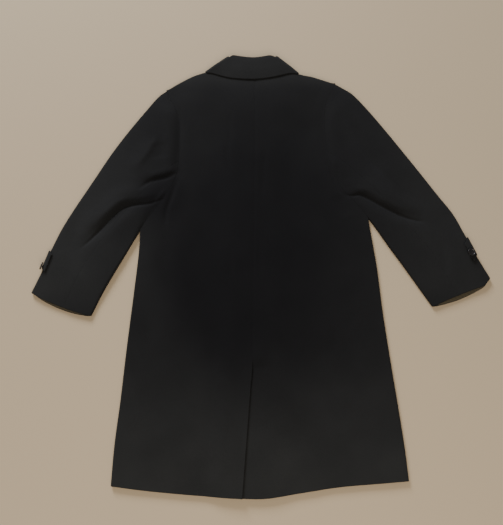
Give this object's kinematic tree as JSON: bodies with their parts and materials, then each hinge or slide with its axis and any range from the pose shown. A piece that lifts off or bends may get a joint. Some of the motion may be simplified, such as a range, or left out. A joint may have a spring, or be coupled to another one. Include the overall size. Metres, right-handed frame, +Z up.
{
  "type": "overcoat",
  "caption": "Long wool overcoat laid face down: back panels with a centre seam and hem vent, two spread sleeves, turned-down collar, sleeve straps and buttons.",
  "frame": {"origin": "under the middle of the coat's outline, on the surface it lies on", "axes": "+X across the back towards the wearer's right, +Y from hem to collar, +Z up off the surface"},
  "size_m": [1.1886, 1.1664, 0.0258],
  "materials": {
    "wool_melton": "napped black wool cloth",
    "viscose_lining": "smooth olive-brown lining",
    "horn": "polished dark horn"
  },
  "bodies": {
    "root": {"back_left": "wool_melton", "back_right": "wool_melton", "front_left": "wool_melton", "front_right": "wool_melton", "sleeve_left_top": "wool_melton", "sleeve_left_under": "wool_melton", "sleeve_right_top": "wool_melton", "sleeve_right_under": "wool_melton", "sleeve_strap_left": "wool_melton", "sleeve_strap_right": "wool_melton", "collar_fall": "wool_melton", "collar_stand": "wool_melton", "cuff_lining_left": "viscose_lining", "cuff_lining_right": "viscose_lining", "strap_button_left": "horn", "strap_button_right": "horn"}
  },
  "joints": []
}
